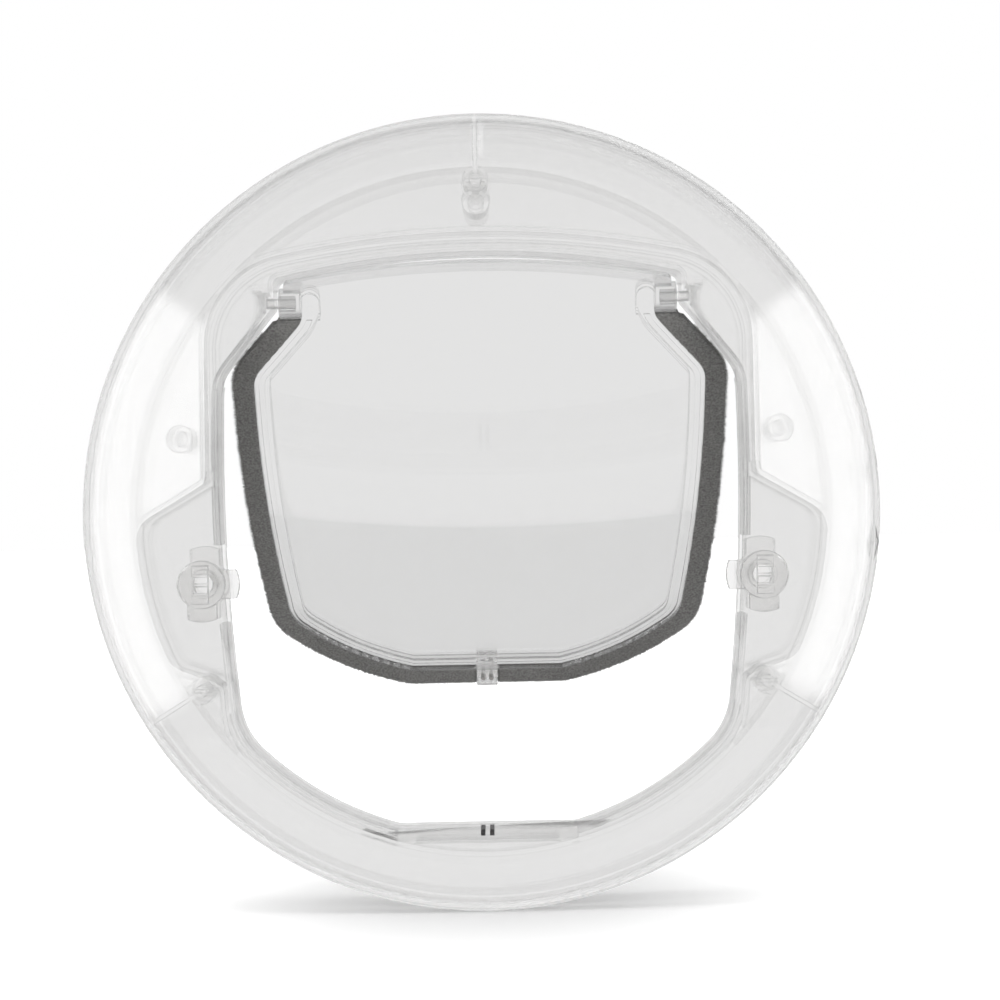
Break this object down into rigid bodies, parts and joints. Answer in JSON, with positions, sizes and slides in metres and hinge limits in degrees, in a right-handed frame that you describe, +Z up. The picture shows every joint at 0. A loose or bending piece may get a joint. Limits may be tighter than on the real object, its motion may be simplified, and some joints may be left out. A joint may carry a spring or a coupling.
{
  "type": "cat flap",
  "caption": "Round clear plastic cat flap for a hole in glass: two clamped flanges, a hinged flap with a dark pile edge, and rotary side locks.",
  "frame": {"origin": "centre of the ring, halfway through the thickness of the glass it clamps", "axes": "+X right and +Z up as seen from the front, +Y to the back, the way the flap stands open"},
  "size_m": [0.272, 0.1316, 0.272],
  "materials": {
    "clear_plastic": "clear",
    "grey_pile": "short pile",
    "steel": "bright",
    "dark_magnet": "matt"
  },
  "bodies": {
    "frame": {"front_frame": "clear_plastic", "rear_frame": "clear_plastic", "clamp_screw_top": "clear_plastic", "clamp_screw_left": "clear_plastic", "clamp_screw_right": "clear_plastic", "hinge_pin_left": "clear_plastic", "hinge_pin_right": "clear_plastic", "sill_magnet_left": "dark_magnet", "sill_magnet_right": "dark_magnet"},
    "flap": {"flap_panel": "clear_plastic", "pile_strip_left": "grey_pile", "pile_strip_right": "grey_pile", "catch_clip": "clear_plastic", "catch_slug_left": "steel", "catch_slug_right": "steel"},
    "lock_left": {"lock_knob_left": "clear_plastic", "lock_cam_left": "clear_plastic"},
    "lock_right": {"lock_knob_right": "clear_plastic", "lock_cam_right": "clear_plastic"}
  },
  "joints": [
    {"name": "flap_swing", "type": "hinge", "parent": "frame", "child": "flap", "pos_m": [0, 0, 0.0729], "axis": [1, 0, 0], "range_deg": [-38.5, 46.5]},
    {"name": "lock_left_turn", "type": "hinge", "parent": "frame", "child": "lock_left", "pos_m": [-0.0961, 0, -0.023], "axis": [0, 1, 0], "continuous": true},
    {"name": "lock_right_turn", "type": "hinge", "parent": "frame", "child": "lock_right", "pos_m": [0.0961, 0, -0.023], "axis": [0, 1, 0], "continuous": true}
  ]
}
